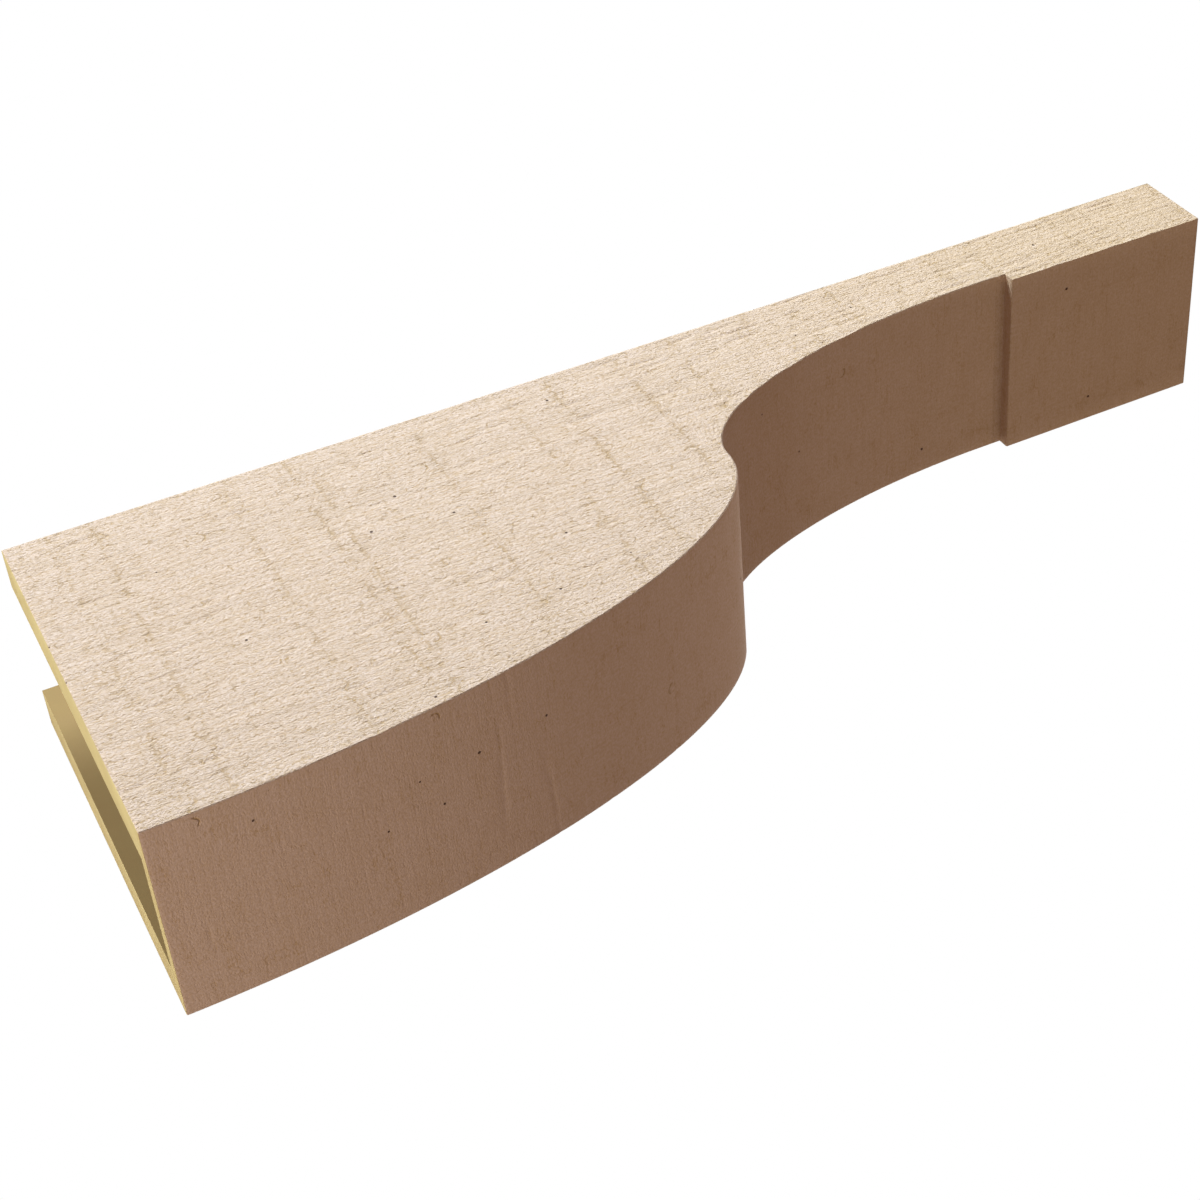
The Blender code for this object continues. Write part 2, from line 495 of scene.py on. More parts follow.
def lower_line(cells, inset, end, lead=()):
    """The line that a panel's columns stand on, and the number of its corner at the step."""
    belly_cells, neck_cells, land_cells, block_cells = cells
    curve, _ = belly_and_neck(belly_cells, neck_cells, inset, lead)
    corner = (BLOCK_START + inset, CROWN + inset)
    land = straight_run(curve[-1], corner, land_cells)
    block = straight_run(corner, (end, CROWN + inset), block_cells)
    return np.concatenate([curve, land, block]), len(curve) + land_cells - 1


def column_heads(line):
    """Where each column meets the roof: in step with the line's length, and plumb near the wall end.

    The line stands upright at the nose, so the column from there leans back a little, well clear of the line.
    """
    travelled = np.concatenate([[0], np.cumsum(np.linalg.norm(np.diff(line, axis=0), axis=1))])
    at_nose = np.interp(NOSE_HEIGHT, line[:, 1], travelled)
    heads = np.interp(travelled, [0, at_nose, travelled[-1]], [0, BELLY_LENGTH - NOSE_LEAN, line[-1, 0]])
    heads[:3] = line[:3, 0]
    return heads


def ruled(line, heads, rows, tops):
    """A grid of points on straight columns from the line to the first of the tops, and at the other tops."""
    t = np.linspace(0, 1, rows + 1)[None, :, None]
    top = np.stack([heads, np.full_like(heads, tops[0])], -1)
    body = line[:, None] * (1 - t) + top[:, None] * t
    extra = [np.stack([heads, np.full_like(heads, z)], -1)[:, None] for z in tops[1:]]
    return np.concatenate([body, *extra], axis=1)


def panel(y, facing, line, corner, foot, spans, drop_rows, tops, slot, finish):
    """Adds a side panel's sheets, and returns the rows of points along its edges.

    Finish is a function that gives the grain, moves and depth of a grid of points.
    """
    outward = np.array([0.0, facing, 0.0])
    heads = column_heads(line)

    def add(points):
        space = xz_to_space(points, y)
        add_sheet(space, outward, slot, *finish(space, outward))
        return space

    sheets = [add(ruled(line[a:b], heads[a:b], rows, tops)) for a, b, rows in spans]
    extra = 1 + np.arange(1, len(tops)) / WALL_ROWS
    for (_, _, rows), (_, _, next_rows), before, after in zip(spans, spans[1:], sheets, sheets[1:]):
        at_before = np.concatenate([np.linspace(0, 1, rows + 1), extra])
        at_after = np.concatenate([np.linspace(0, 1, next_rows + 1), extra])
        add_seam(before[-1], after[0], outward, slot, at_before, at_after)

    block = line[corner:]
    t = np.linspace(0, 1, drop_rows + 1)[None, :, None]
    under = block * np.array([1, 0]) + np.array([0, foot])
    strip = add(under[:, None] * (1 - t) + block[:, None] * t)
    return {
        "wall": sheets[0][0],
        "lower": np.concatenate([sheet[:, 0] for sheet in sheets])[:corner + 1],
        "riser": strip[0, ::-1],
        "block": strip[:, 0],
        "tail_low": strip[-1],
        "tail": sheets[-1][-1],
        "roof": np.concatenate([sheet[:, -1] for sheet in sheets]),
    }


def sawn(points, outward):
    """The outer panels' finish: carved, and eased towards the wall end and the roof."""
    grain = flat_grain(points, outward)
    moves = ease(outward, [((-1, 0, 0), points[..., 0]), ((0, 0, 1), ROOF - points[..., 2])])
    seed = NEAR_SEED if outward[1] < 0 else FAR_SEED
    return grain, moves, sawn_face(grain, seed, SIDE_TEARS, SIDE_TEAR_REACH)


def moulded(points, outward):
    """The inner panels' finish: they only swell and sink a little, away from the cut rims."""
    grain = flat_grain(points, outward)
    inside = soft_step(np.minimum(points[..., 0], ROOF - points[..., 2]), 0, RIM_CLEAR)
    lumps = smooth_noise(grain[..., 0], grain[..., 1], 31 * MM, 27 * MM, SWELL_SEED)
    return grain, np.zeros_like(points), SWELL * inside * (1 + lumps)


outer_cells = (BELLY_CELLS, NECK_CELLS, LAND_CELLS, BLOCK_CELLS)
outer_line, outer_corner = lower_line(outer_cells, ARRIS, LENGTH - ARRIS, EASED_ROWS)
outer_spans = [
    (0, HALVE_AT[0], WALL_ROWS),
    (HALVE_AT[0], HALVE_AT[1], WALL_ROWS // 2),
    (HALVE_AT[1], len(outer_line), WALL_ROWS // 4),
]
outer_tops = (ROOF - ARRIS, ROOF - EASED_AT, ROOF)
outer_foot = BLOCK_SOFFIT + ARRIS
outer_shape = (outer_line, outer_corner, outer_foot, outer_spans, STEP_CELLS, outer_tops)
outer = {side: panel(side * HALF, side, *outer_shape, PRIMER, sawn) for side in (-1, 1)}
print("outer panels", len(outer_line), "columns each")

# %% [markdown]
# The seams along the soffit's edges
#
# Each stretch of the panel's lower edge has its own share of the ribbon's edge. Round a corner the panel
# keeps still at one point while the ribbon turns about it, so the seam there is a small fan.

# %% Sew the panels to the ribbon
coarse_at = np.concatenate([[0, 1], 2 + FINE * np.arange(BELLY_CELLS + NECK_CELLS + LAND_CELLS + 1)])
for side, edge in outer.items():
    facing = np.array([0.0, side, 0.0])
    rim = ribbon[:, 0 if side < 0 else -1]
    add_seam(edge["lower"], rim[:ends["land"] + 1], facing, PRIMER, coarse_at, np.arange(ends["land"] + 1))
    add_seam(edge["riser"], rim[ends["land"]:ends["riser"] + 1], facing, PRIMER)
    add_seam(edge["riser"][-1:], rim[ends["riser"]:ends["step"] + 1], facing, PRIMER)
    add_seam(edge["block"], rim[ends["step"]:ends["block"] + 1], facing, PRIMER)
    add_seam(edge["block"][-1:], rim[ends["block"]:ends["toe"] + 1], facing, PRIMER)
    add_seam(edge["tail_low"], rim[ends["toe"]:ends["tail_low"] + 1], facing, PRIMER)
    add_seam(edge["tail"][:-2], rim[ends["tail_low"]:ends["tail"] + 1], facing, PRIMER)
    add_seam(edge["tail"][-3:-1], rim[ends["tail"]:ends["top"] + 1], facing, PRIMER)

# %% [markdown]
# The inside
#
# Inside, the moulding is bare foam. Its panels are ruled in the same way from a line one wall's thickness
# further in, with wide cells, because the foam's own skin is smooth there. The floor and the inside of the
# tail's end wall are the inner line carried across the hollow.

# %% Line the hollow
INNER_CELLS = (38, 24, 2, 12)
INNER_ROWS, INNER_DROP, FLOOR_CELLS = 26, 1, 8
inner_end = LENGTH - TAIL_WALL
inner_line, inner_corner = lower_line(INNER_CELLS, SOFFIT_WALL, inner_end)
inner_spans = [(0, len(inner_line), INNER_ROWS)]
inner_foot = BLOCK_SOFFIT + SOFFIT_WALL
inner_shape = (inner_line, inner_corner, inner_foot, inner_spans, INNER_DROP, (ROOF,))
inner = {side: panel(side * HALF_HOLLOW, -side, *inner_shape, FOAM_SKIN, moulded) for side in (-1, 1)}


def add_floor():
    """The inner line, from the wall end down the step and up the end wall, carried across the hollow."""
    near = inner[-1]
    stretches = [near[name][1:] for name in ("riser", "block", "tail_low", "tail")]
    path = np.concatenate([near["lower"], *stretches])
    along = np.gradient(path, axis=0)
    along /= np.linalg.norm(along, axis=1, keepdims=True)
    facing = np.stack([-along[:, 2], 0 * along[:, 0], along[:, 0]], -1)
    y = np.linspace(-HALF_HOLLOW, HALF_HOLLOW, FLOOR_CELLS + 1)
    points = np.stack(np.broadcast_arrays(path[:, None, 0], y[None], path[:, None, 2]), -1)
    s = np.concatenate([[0], np.cumsum(np.linalg.norm(np.diff(path, axis=0), axis=1))])
    grain = np.stack(np.broadcast_arrays(s[:, None], y[None]), -1)
    add_sheet(points, np.broadcast_to(facing[:, None], points.shape), FOAM_SKIN, grain)
    return points


floor = add_floor()
print("inside", floor.shape[:2], "points on the floor")

# %% [markdown]
# The cut rims
#
# At the wall end and along the roof edge the moulding was trimmed flat, and the foam shows in a band as wide
# as the walls are thick. Each rim has a narrow strip one radius wide along its outer edge, which takes the
# round, and a seam across the flat to the inner edge.

# %% Close the rims
BACK, UP = np.array([-1.0, 0.0, 0.0]), np.array([0.0, 0.0, 1.0])
wall_row, roof_row = ribbon[0], ribbon[-1]


def add_strip(outer_edge, inner_edge, outward, beyond):
    """A strip from an outer edge to the row one radius inside it, with its share of the round."""
    points = np.stack([outer_edge, inner_edge])
    distance = np.broadcast_to(np.array([0.0, ARRIS])[:, None], points.shape[:2])
    moves = ease(np.broadcast_to(outward, points.shape), [(beyond, distance)])
    add_sheet(points, outward, CUT_FOAM, moves=moves)


wall_floor = wall_row[INSIDE_ROUND] + np.array([0, 0, ARRIS])
add_strip(wall_row[INSIDE_ROUND], wall_floor, BACK, (0, 0, -1))
add_seam(wall_floor, floor[0], BACK, CUT_FOAM)
add_seam(roof_row[INSIDE_ROUND], floor[-1], UP, CUT_FOAM)

for side, edge in outer.items():
    inward = np.array([0, -side * ARRIS, 0])
    beyond = (0, side, 0)
    near = slice(0, 3) if side < 0 else slice(-3, None)
    wall_inset, roof_inset = edge["wall"] + inward, edge["roof"] + inward
    turn = wall_row[near] if side < 0 else wall_row[near][::-1]
    add_strip(edge["wall"], wall_inset, BACK, beyond)
    add_seam(wall_inset[:1], np.concatenate([edge["wall"][:1], turn]), BACK, CUT_FOAM)
    add_seam(wall_inset, inner[side]["wall"], BACK, CUT_FOAM)
    end = roof_row[1] if side < 0 else roof_row[-2]
    add_strip(edge["roof"][:-1], roof_inset[:-1], UP, beyond)
    add_seam(roof_inset[-2:], np.concatenate([edge["roof"][-2:], [end]]), UP, CUT_FOAM, [0, 2], [0, 1.5, 2])
    add_seam(roof_inset, inner[side]["roof"], UP, CUT_FOAM)

# %% [markdown]
# One closed mesh
#
# Points that lie at the same place are welded, whatever sheet they came from. Each sheet has a vote on how a
# welded point moves, so the two sides of an edge always agree. A closed solid has every edge twice, once in
# each direction, which is easy to count.

# %% Weld and check
MICRON = 1e-6
SHARP_DEGREES = 55


def weld():
    """All patches as one set of points, triangles, pattern coordinates, slots, depths and coarsenesses."""
    rest = np.concatenate([p["rest"] for p in patches])
    counts = [len(p["rest"]) for p in patches]
    starts = np.cumsum([0, *counts[:-1]])
    outward = np.concatenate([p["outward"] for p in patches])
    grain = np.concatenate([p["grain"] for p in patches])
    votes = np.concatenate([p["votes"] for p in patches])
    depth = np.concatenate([p["depth"] for p in patches])
    coarseness = np.concatenate([p["coarseness"] for p in patches])
    moves = np.concatenate([p["moves"] for p in patches]) - depth[:, None] * outward
    faces = np.concatenate([p["faces"] + start for p, start in zip(patches, starts)])
    slots = np.concatenate([np.full(len(p["faces"]), p["slot"]) for p in patches])

    place = np.round(rest / MICRON).astype(np.int64)
    _, first, same = np.unique(place, axis=0, return_index=True, return_inverse=True)
    same = same.reshape(-1)
    total = np.bincount(same, votes)
    moved = np.stack([np.bincount(same, votes * moves[:, k]) for k in range(3)], -1) / total[:, None]
    depth = np.bincount(same, votes * depth) / total
    coarseness = np.bincount(same, votes * coarseness) / total
    corners = grain[faces]
    faces = same[faces]
    whole = (faces[:, 0] != faces[:, 1]) & (faces[:, 1] != faces[:, 2]) & (faces[:, 2] != faces[:, 0])
    return rest[first] + moved, faces[whole], corners[whole], slots[whole], depth, coarseness


def loose_edges(faces):
    """How many edges don't have exactly one partner that runs the other way."""
    edges = np.concatenate([faces[:, [0, 1]], faces[:, [1, 2]], faces[:, [2, 0]]])
    key = edges[:, 0] * (faces.max() + 1) + edges[:, 1]
    back = edges[:, 1] * (faces.max() + 1) + edges[:, 0]
    return int((~np.isin(key, back)).sum() + len(key) - len(np.unique(key)))


points, faces, corners, slots, depth, coarseness = weld()
a, b, c = (points[faces[:, k]] for k in range(3))
volume = float((a * np.cross(b, c)).sum() / 6)
print("mesh", len(points), "points,", len(faces), "triangles,", loose_edges(faces), "loose edges")
print("volume", round(volume * 1e6), "cm3")


def make_mesh(name):
    """The welded arrays as a Blender mesh, with a UV map for the grain and attributes for the rest."""
    mesh = bpy.data.meshes.new(name)
    mesh.from_pydata(points, [], faces)
    mesh.uv_layers.new(name="grain").uv.foreach_set("vector", corners.reshape(-1).astype(np.float32))
    for title, values in (("depth", depth / MM), ("coarseness", coarseness)):
        mesh.attributes.new(title, "FLOAT", "POINT").data.foreach_set("value", values.astype(np.float32))
    mesh.polygons.foreach_set("material_index", slots.astype(np.int32))
    mesh.shade_smooth()
    mesh.set_sharp_from_angle(angle=np.radians(SHARP_DEGREES))
    return mesh


corbel = bpy.data.objects.new("corbel_moulding", make_mesh("corbel_moulding"))
bpy.context.scene.collection.objects.link(corbel)

# %% [markdown]
# Building materials from nodes
#
# A material is a small network. This helper makes one node, sets its options and either links or fills each
# of its inputs, so a recipe reads from top to bottom.

# %% A helper for nodes
def node(tree, kind, inputs=None, **options):
    """Makes a node, sets its options, and links or fills its inputs."""
    made = tree.nodes.new(kind)
    for name, value in options.items():
        setattr(made, name, value)
    for name, value in (inputs or {}).items():
        if isinstance(value, bpy.types.NodeSocket):
            tree.links.new(value, made.inputs[name])
        else:
            made.inputs[name].default_value = value
    return made


def new_material(name):
    """A new material, its node tree and its Principled shader."""
    material = bpy.data.materials.new(name)
    material.use_nodes = True
    tree = material.node_tree
    return material, tree, tree.nodes["Principled BSDF"]


def math(tree, operation, a, b=0.0, c=0.0):
    """One step of arithmetic on numbers or sockets."""
    return node(tree, "ShaderNodeMath", {0: a, 1: b, 2: c}, operation=operation).outputs[0]


def mix_colour(tree, amount, a, b):
    """Blends two colours by an amount from 0 to 1."""
    return node(tree, "ShaderNodeMix", {0: amount, 6: a, 7: b}, data_type="RGBA").outputs[2]


def remap(tree, value, start, end, low=0.0, high=1.0):
    """Maps a stretch of values smoothly onto another."""
    settings = {"Value": value, "From Min": start, "From Max": end, "To Min": low, "To Max": high}
    return node(tree, "ShaderNodeMapRange", settings, interpolation_type="SMOOTHSTEP").outputs[0]


def stretched_noise(tree, grain, along, across, detail=3.0, roughness=0.5, shift=0.0):
    """Noise with cells of a given length along the grain and width across it, in metres."""
    mapping = {"Vector": grain, "Scale": (1 / along, 1 / across, 1), "Location": (shift, shift, 0)}
    placed = node(tree, "ShaderNodeMapping", mapping)
    settings = {"Vector": placed.outputs[0], "Scale": 1.0, "Detail": detail, "Roughness": roughness}
    return node(tree, "ShaderNodeTexNoise", settings, noise_dimensions="2D").outputs[0]


# %% [markdown]
# The tan primer
#
# The primer is a thin matt coat, a little yellower towards the tail. It is darker in the hollows of the
# relief, as painted shade, and paler on the raised fibres of the ridges, as a painted highlight. What the
# mesh is too
# coarse for is drawn here: thin scores in the saw's rows, hairs and specks, lines where the blade stopped,
# small tears, arcs round pin knots and pinholes left by air in the mould. Most add to the colour and to the
# bump: they sink, and their darker colour is painted shade. Where the coarseness is low they only show in
# faint patches.

# %% Make the primer
TAN = (0.566, 0.405, 0.295, 1)
TAN_TAIL = (0.562, 0.394, 0.252, 1)
TAIL_TONE = (0.25, 0.6)
TAN_PALE = (0.66, 0.49, 0.37, 1)
TAN_DEEP = (0.36, 0.20, 0.05, 1)
# Painted shade inside the pinholes
PINHOLE_SHADE = (0.10, 0.052, 0.028, 1)
CRESCENTS = (
    (-0.0455, 0.022, 2.6, 2.0),
    (-0.0455, 0.123, 2.3, 2.4),
    (0.014, 0.246, 2.8, 4.4),
    (-0.031, 0.452, 2.4, 1.2),
    (0.077, 0.161, 3.2, 0.2),
    (0.181, 0.158, 2.8, 0.0),
    (0.262, 0.094, 3.0, 2.9),
    (0.140, 0.046, 2.5, 5.5),
    (5.126, 0.092, 3.1, 1.0),
    (5.318, 0.139, 2.7, 3.6),
)


def crooked(tree, grain, cell, reach):
    """Pattern coordinates pushed about by noise, so that lines drawn on them turn ragged."""
    settings = {"Vector": grain, "Scale": 1 / cell, "Detail": 3.0, "Roughness": 0.6}
    push = node(tree, "ShaderNodeTexNoise", settings, noise_dimensions="2D").outputs["Color"]
    from_half = {0: push, 1: (0.5, 0.5, 0.5)}
    centred = node(tree, "ShaderNodeVectorMath", from_half, operation="SUBTRACT").outputs[0]
    scaled = {0: centred, 1: (reach, reach, 0.0), 2: grain}
    return node(tree, "ShaderNodeVectorMath", scaled, operation="MULTIPLY_ADD").outputs[0]


def saw_rows(tree, grain):
    """How deep in a furrow between ridges a place lies, and the thin broken scores in the furrows."""
    across = node(tree, "ShaderNodeSeparateXYZ", {0: crooked(tree, grain, 2 * MM, 0.7 * MM)}).outputs[1]
    phase = math(tree, "PINGPONG", math(tree, "DIVIDE", across, RIDGE_PITCH), 0.5)
    score = remap(tree, phase, 0.24, 0.5)
    dash = stretched_noise(tree, grain, 9 * MM, 2.2 * MM, 3.0, 0.6, 31.0)
    return score, math(tree, "MULTIPLY", score, remap(tree, dash, 0.40, 0.62, 0.15, 1.0))


def blade_marks(tree, grain, spacing):
    """Lines across the grain where the blade stopped for a moment, and the ragged zone round each of them.

    The lines lie on the scattered points of a cell pattern that depends on the place along the grain alone.
    """
    along = node(tree, "ShaderNodeSeparateXYZ", {0: crooked(tree, grain, 2.5 * MM, 4.0 * MM)}).outputs[0]
    settings = {"W": along, "Scale": 1 / spacing}
    away = node(tree, "ShaderNodeTexVoronoi", settings, voronoi_dimensions="1D").outputs["Distance"]
    shows = remap(tree, stretched_noise(tree, grain, 12 * MM, 9 * MM, 3.0, 0.6, 37.0), 0.42, 0.58)
    line = math(tree, "MULTIPLY", remap(tree, away, 0.0, 0.035, 1.0, 0.0), shows)
    zone = remap(tree, away, 0.0, 0.2, 1.0, 0.0)
    return line, math(tree, "MULTIPLY", zone, remap(tree, shows, 0.0, 1.0, 0.3, 1.0))


def tear_lines(tree, grain, along, across, width, ragged):
    """Thin ragged lines along the edges of small cells, kept in scattered patches and where it is ragged."""
    bent = crooked(tree, grain, 2.2 * MM, 3.0 * MM)
    placed = node(tree, "ShaderNodeMapping", {"Vector": bent, "Scale": (1 / along, 1 / across, 1)}).outputs[0]
    settings = {"Vector": placed, "Scale": 1.0}
    kind = {"voronoi_dimensions": "2D", "feature": "DISTANCE_TO_EDGE"}
    edge = node(tree, "ShaderNodeTexVoronoi", settings, **kind).outputs["Distance"]
    thin = remap(tree, edge, 0.0, width, 1.0, 0.0)
    where = stretched_noise(tree, grain, 1.1 * along, 1.6 * across, 3.0, 0.65, 19.0)
    where = math(tree, "MULTIPLY_ADD", ragged, 0.09, where)
    return math(tree, "MULTIPLY", thin, remap(tree, where, 0.56, 0.66))


def pinholes(tree, grain, spacing, share):
    """Small round holes of several sizes in a share of the cells of a loose grid."""
    settings = {"Vector": grain, "Scale": 1 / spacing}
    spots = node(tree, "ShaderNodeTexVoronoi", settings, voronoi_dimensions="2D")
    pick = node(tree, "ShaderNodeSeparateColor", {0: spots.outputs["Color"]})
    rim = math(tree, "MULTIPLY_ADD", pick.outputs[1], 0.022, 0.026)
    inside = math(tree, "DIVIDE", spots.outputs["Distance"], rim)
    hole = remap(tree, inside, 0.55, 1.0, 1.0, 0.0)
    return math(tree, "MULTIPLY", hole, math(tree, "LESS_THAN", pick.outputs[0], share))


def crescents(tree, grain):
    """Small ragged arcs where the grain turned about a pin knot.

    Each has a place in the grain coordinates, a radius in millimetres and the angle that its middle faces. A
    point belongs to an arc when it lies one radius from the place, and its direction from there is near that
    angle.
    """
    bent_grain = crooked(tree, grain, 1.5 * MM, 1.2 * MM)
    total = None
    for u, v, radius, angle in CRESCENTS:
        from_place = {0: bent_grain, 1: (u, v, 0.0)}
        offset = node(tree, "ShaderNodeVectorMath", from_place, operation="SUBTRACT").outputs[0]
        reach = node(tree, "ShaderNodeVectorMath", {0: offset}, operation="LENGTH").outputs["Value"]
        off_ring = math(tree, "ABSOLUTE", math(tree, "SUBTRACT", reach, radius * MM))
        facing = {0: offset, 1: (np.cos(angle), np.sin(angle), 0.0)}
        towards = node(tree, "ShaderNodeVectorMath", facing, operation="DOT_PRODUCT").outputs["Value"]
        arc = remap(tree, math(tree, "DIVIDE", towards, reach), 0.0, 0.6)
        mark = math(tree, "MULTIPLY", arc, remap(tree, off_ring, 0.1 * MM, 0.7 * MM, 1.0, 0.0))
        total = mark if total is None else math(tree, "MAXIMUM", total, mark)
    return total


def primer_material():
    """Matt tan primer over rough-sawn relief."""
    material, tree, shader = new_material("tan_primer")
    grain = node(tree, "ShaderNodeUVMap", uv_map="grain").outputs[0]
    depth = node(tree, "ShaderNodeAttribute", attribute_name="depth").outputs["Fac"]
    coarse = node(tree, "ShaderNodeAttribute", attribute_name="coarseness").outputs["Fac"]
    place = node(tree, "ShaderNodeTexCoord").outputs["Object"]
    out = node(tree, "ShaderNodeSeparateXYZ", {0: place}).outputs[0]

    fibre = stretched_noise(tree, grain, 4.2 * MM, 1.3 * MM, 3.0, 0.6)
    weft = stretched_noise(tree, grain, 1.5 * MM, 4.5 * MM, 2.0, 0.5, 5.0)
    grit = stretched_noise(tree, grain, 1.4 * MM, 0.9 * MM, 2.0, 0.6, 7.0)
    speck = stretched_noise(tree, crooked(tree, grain, 2 * MM, 1.2 * MM), 2.2 * MM, 0.75 * MM, 2.0, 0.6, 11.0)
    hair = stretched_noise(tree, crooked(tree, grain, 6 * MM, 1.6 * MM), 9 * MM, 0.7 * MM, 2.0, 0.5, 23.0)
    mottle = stretched_noise(tree, grain, 26 * MM, 15 * MM, 3.0, 0.6, 3.0)
    patch = remap(tree, stretched_noise(tree, grain, 24 * MM, 9 * MM, 3.0, 0.6, 43.0), 0.52, 0.62)
    furrow, score = saw_rows(tree, grain)
    mark, ragged = blade_marks(tree, grain, 34 * MM)
    tear = tear_lines(tree, grain, 8 * MM, 3.2 * MM, 0.10, ragged)
    pin = pinholes(tree, grain, 18 * MM, 0.07)
    curl = crescents(tree, grain)

    tone = mix_colour(tree, remap(tree, out, *TAIL_TONE), TAN, TAN_TAIL)
    # Painted highlight: paler on the crests of the ridges where the fibres stand up
    crest_highlight = math(tree, "MULTIPLY", remap(tree, furrow, 0.0, 0.5, 0.3, 0.0), remap(tree, fibre, 0.4, 0.6))
    tone = mix_colour(tree, math(tree, "MULTIPLY", crest_highlight, coarse), tone, TAN_PALE)
    # Each pattern with the values where it starts and ends, and how much of the deep tone it brings at most;
    # by depth it is painted shade
    deep_tone_and_shade = (
        (grit, 0.35, 0.65, 0.23),
        (weft, 0.35, 0.65, 0.08),
        (mottle, 0.3, 0.7, 0.07),
        (depth, 0.3, 0.8, 0.14),
    )
    for pattern, start, end, most in deep_tone_and_shade:
        tone = mix_colour(tree, remap(tree, pattern, start, end, 0.0, most), tone, TAN_DEEP)
    # Painted shade in the sunken tears, blade lines, scores and specks, the specks darker deep in the
    # furrows;
    # the hairs are dark lines in the colour alone
    marks_and_shade = math(tree, "MAXIMUM", math(tree, "MULTIPLY", tear, 0.65), math(tree, "MULTIPLY", mark, 0.45))
    marks_and_shade = math(tree, "MAXIMUM", marks_and_shade, math(tree, "MULTIPLY", score, 0.17))
    marks_and_shade = math(tree, "MAXIMUM", marks_and_shade, remap(tree, hair, 0.6, 0.65, 0.0, 0.36))
    speck = math(tree, "MULTIPLY_ADD", ragged, 0.055, speck)
    dots = math(tree, "MULTIPLY", remap(tree, speck, 0.605, 0.65), remap(tree, furrow, 0.0, 1.0, 0.4, 0.72))
    marks_and_shade = math(tree, "MAXIMUM", marks_and_shade, dots)
    shown = math(tree, "MAXIMUM", coarse, math(tree, "MULTIPLY", patch, 0.7))
    tone = mix_colour(tree, math(tree, "MULTIPLY", marks_and_shade, shown), tone, TAN_DEEP)
    # Painted shade in the sunken arcs round the pin knots
    tone = mix_colour(tree, math(tree, "MULTIPLY", curl, 0.6), tone, TAN_DEEP)
    # Painted shade inside the pinholes
    tone = mix_colour(tree, pin, tone, PINHOLE_SHADE)
    tree.links.new(tone, shader.inputs["Base Color"])

    rough = remap(tree, grit, 0.3, 0.7, 0.62, 0.78)
    tree.links.new(rough, shader.inputs["Roughness"])
    shader.inputs["Specular IOR Level"].default_value = 0.25

    # Heights in millimetres, first of what shows only where the face is rough, then of what shows anywhere
    height = math(tree, "MULTIPLY", fibre, 0.1 * MM)
    rough_only = ((grit, 0.68), (weft, 0.2), (dots, -0.25), (score, -0.12), (mark, -0.15), (tear, -0.24))
    for pattern, rise in rough_only:
        height = math(tree, "MULTIPLY_ADD", pattern, rise * MM, height)
    height = math(tree, "MULTIPLY", height, coarse)
    for pattern, rise in ((pin, -0.6), (curl, -0.35)):
        height = math(tree, "MULTIPLY_ADD", pattern, rise * MM, height)
    bump = node(tree, "ShaderNodeBump", {"Height": height, "Strength": 1.0, "Distance": 1.0})
    tree.links.new(bump.outputs[0], shader.inputs["Normal"])
    return material


# %% [markdown]
# The bare foam
#
# The rims were cut, so they are a pale dull yellow with fine open pores, darkened as painted shade where they
# sink. The inside set against the mould and has a closed skin, whose deeper, browner yellow is partly its own
# and partly painted shade of the hollow. Both vary softly in tone.

# %% Make the foam
CUT_YELLOW = (0.47, 0.357, 0.145, 1)
CUT_PALE = (0.515, 0.40, 0.17, 1)
# The skin's colours are partly its own and partly painted shade of the hollow
SKIN_SHADED_YELLOW = (0.28, 0.163, 0.048, 1)
SKIN_SHADED_PALE = (0.30, 0.182, 0.06, 1)
PORE_SHADE = (0.36, 0.25, 0.09, 1)


def foam_material(name, yellow, pale, openness):
    """Rigid foam with soft clouds of tone. Openness is how much its pores show, from 0 to 1."""
    material, tree, shader = new_material(name)
    grain = node(tree, "ShaderNodeUVMap", uv_map="grain").outputs[0]
    cloud = stretched_noise(tree, grain, 26 * MM, 20 * MM, 3.0, 0.5)
    settings = {"Vector": grain, "Scale": 1 / (0.9 * MM)}
    cells = node(tree, "ShaderNodeTexVoronoi", settings, voronoi_dimensions="2D")
    pore = remap(tree, cells.outputs["Distance"], 0.05, 0.35, 1.0, 0.0)
    tone = mix_colour(tree, remap(tree, cloud, 0.3, 0.7), yellow, pale)
    # Painted shade: the pores are darkened where they sink into the bump
    tone = mix_colour(tree, math(tree, "MULTIPLY", pore, 0.3 * openness), tone, PORE_SHADE)
    tree.links.new(tone, shader.inputs["Base Color"])
    tree.links.new(remap(tree, cloud, 0.3, 0.7, 0.78, 0.9), shader.inputs["Roughness"])
    shader.inputs["Specular IOR Level"].default_value = 0.3
    swell = math(tree, "MULTIPLY", cloud, 0.1 * MM)
    height = math(tree, "MULTIPLY_ADD", pore, -0.08 * MM * openness, swell)
    bump = node(tree, "ShaderNodeBump", {"Height": height, "Strength": 1.0, "Distance": 1.0})
    tree.links.new(bump.outputs[0], shader.inputs["Normal"])
    return material


corbel.data.materials.append(primer_material())
corbel.data.materials.append(foam_material("cut_foam", CUT_YELLOW, CUT_PALE, 1.0))
corbel.data.materials.append(foam_material("foam_skin_shaded", SKIN_SHADED_YELLOW, SKIN_SHADED_PALE, 0.25))
print("materials", [slot.name for slot in corbel.data.materials])

# %% [markdown]
# Light, backdrop and floor
#
# The photograph is a bright studio picture on white. Two broad, cool keys fall on the near side panel, one
# from either end, and keep its tone even. The soffit is turned away from them. It has the dim warm light that
# comes back from around it, a small fill that grazes the belly from beyond the wall end, a faint one from
# below that reaches the riser, and one from beyond the tail that just catches the nose. Two more soft lights
# show the back and reach down into the hollow. The world and the floor look pale to the camera but give back
# much less light, which keeps the contrast, and the floor lies so far below the eaves that the camera never
# passes under it.

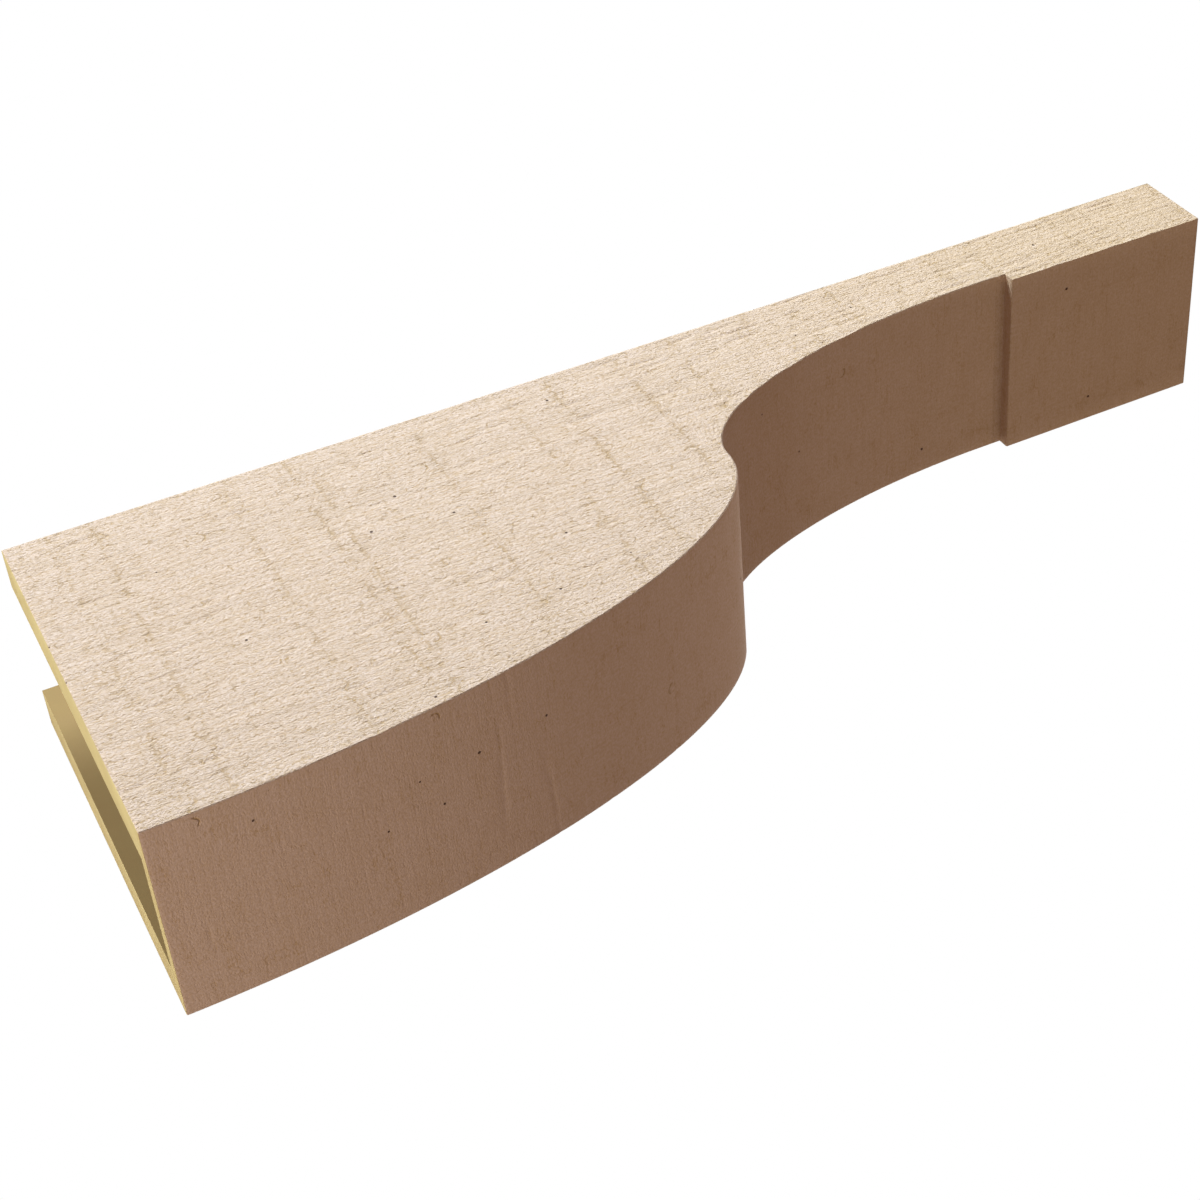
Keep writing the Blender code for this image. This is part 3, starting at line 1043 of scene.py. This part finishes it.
# %% Light the scene
BACKDROP, GLEAM, AMBIENT = (1, 1, 1, 1), (0.4, 0.4, 0.4, 1), (0.179, 0.080, 0.049, 1)
FLOOR_HEIGHT, FLOOR_SIDE = -3.7, 30.0
FLOOR_COLOUR, FLOOR_GLOW = (0.8, 0.71, 0.6, 1), (0.50, 0.60, 0.63, 1)
COOL = (0.69, 0.87, 1.045)
LIGHTS = (
    ("key", (1.0, -2.0, 1.7), 1.2, 120, COOL),
    ("wall_side_key", (-1.1, -1.9, 1.5), 1.0, 90, COOL),
    ("wall_side_fill", (-2.0, 0.0, -0.55), 0.25, 34, (1.0, 0.97, 0.95)),
    ("low_fill", (-1.6, 0.0, -1.9), 0.5, 7, (0.6, 0.68, 0.84)),
    ("tail_side_fill", (2.5, 0.0, 0.55), 0.12, 9, (1.0, 0.93, 0.85)),
    ("back_fill", (0.9, 2.4, 1.0), 1.8, 75, (0.9, 0.95, 1.0)),
    ("roof_side_fill", (0.35, 0.0, 2.4), 0.5, 11, (0.95, 0.97, 1.0)),
)


def area_light(name, place, size, power, colour, target):
    """A square soft light at a place, with its size in metres and power in watts, turned to face a target."""
    data = bpy.data.lights.new(name, "AREA")
    data.shape = "SQUARE"
    data.size = size
    data.energy = power
    data.color = colour
    light = bpy.data.objects.new(name, data)
    light.location = place
    light.rotation_euler = (Vector(target) - Vector(place)).to_track_quat("-Z", "Y").to_euler()
    bpy.context.scene.collection.objects.link(light)
    return light


def make_world(backdrop, gleam, ambient):
    """White to the camera, mid grey in reflections, and a dim warm light to everything else."""
    world = bpy.data.worlds.new("studio")
    world.use_nodes = True
    tree = world.node_tree
    tree.nodes.clear()
    path = node(tree, "ShaderNodeLightPath")
    seen, mirrored, felt = (
        node(tree, "ShaderNodeBackground", {"Color": colour, "Strength": 1.0}).outputs[0]
        for colour in (backdrop, gleam, ambient)
    )
    unseen = {0: path.outputs["Is Glossy Ray"], 1: felt, 2: mirrored}
    rest = node(tree, "ShaderNodeMixShader", unseen).outputs[0]
    both = {0: path.outputs["Is Camera Ray"], 1: rest, 2: seen}
    node(tree, "ShaderNodeOutputWorld", {0: node(tree, "ShaderNodeMixShader", both).outputs[0]})
    bpy.context.scene.world = world


def make_floor():
    """A wide pale plane. Like the world, it looks paler to the camera than the light that it gives back."""
    bpy.ops.mesh.primitive_plane_add(size=FLOOR_SIDE, location=(0, 0, FLOOR_HEIGHT))
    plane = bpy.context.object
    plane.name = "floor"
    material, tree, shader = new_material("pale_floor")
    shader.inputs["Base Color"].default_value = FLOOR_COLOUR
    shader.inputs["Roughness"].default_value = 0.9
    shader.inputs["Emission Color"].default_value = FLOOR_GLOW
    path = node(tree, "ShaderNodeLightPath")
    tree.links.new(path.outputs["Is Camera Ray"], shader.inputs["Emission Strength"])
    plane.data.materials.append(material)


middle = (low + high) / 2
make_world(BACKDROP, GLEAM, AMBIENT)
make_floor()
for lamp in LIGHTS:
    area_light(*lamp, middle)
print("lights", [name for name, *_ in LIGHTS])
bpy.context.scene.view_settings.view_transform = "Standard"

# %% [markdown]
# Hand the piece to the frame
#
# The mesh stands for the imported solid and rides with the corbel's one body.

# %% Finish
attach(corbel, "root")
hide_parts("corbel")
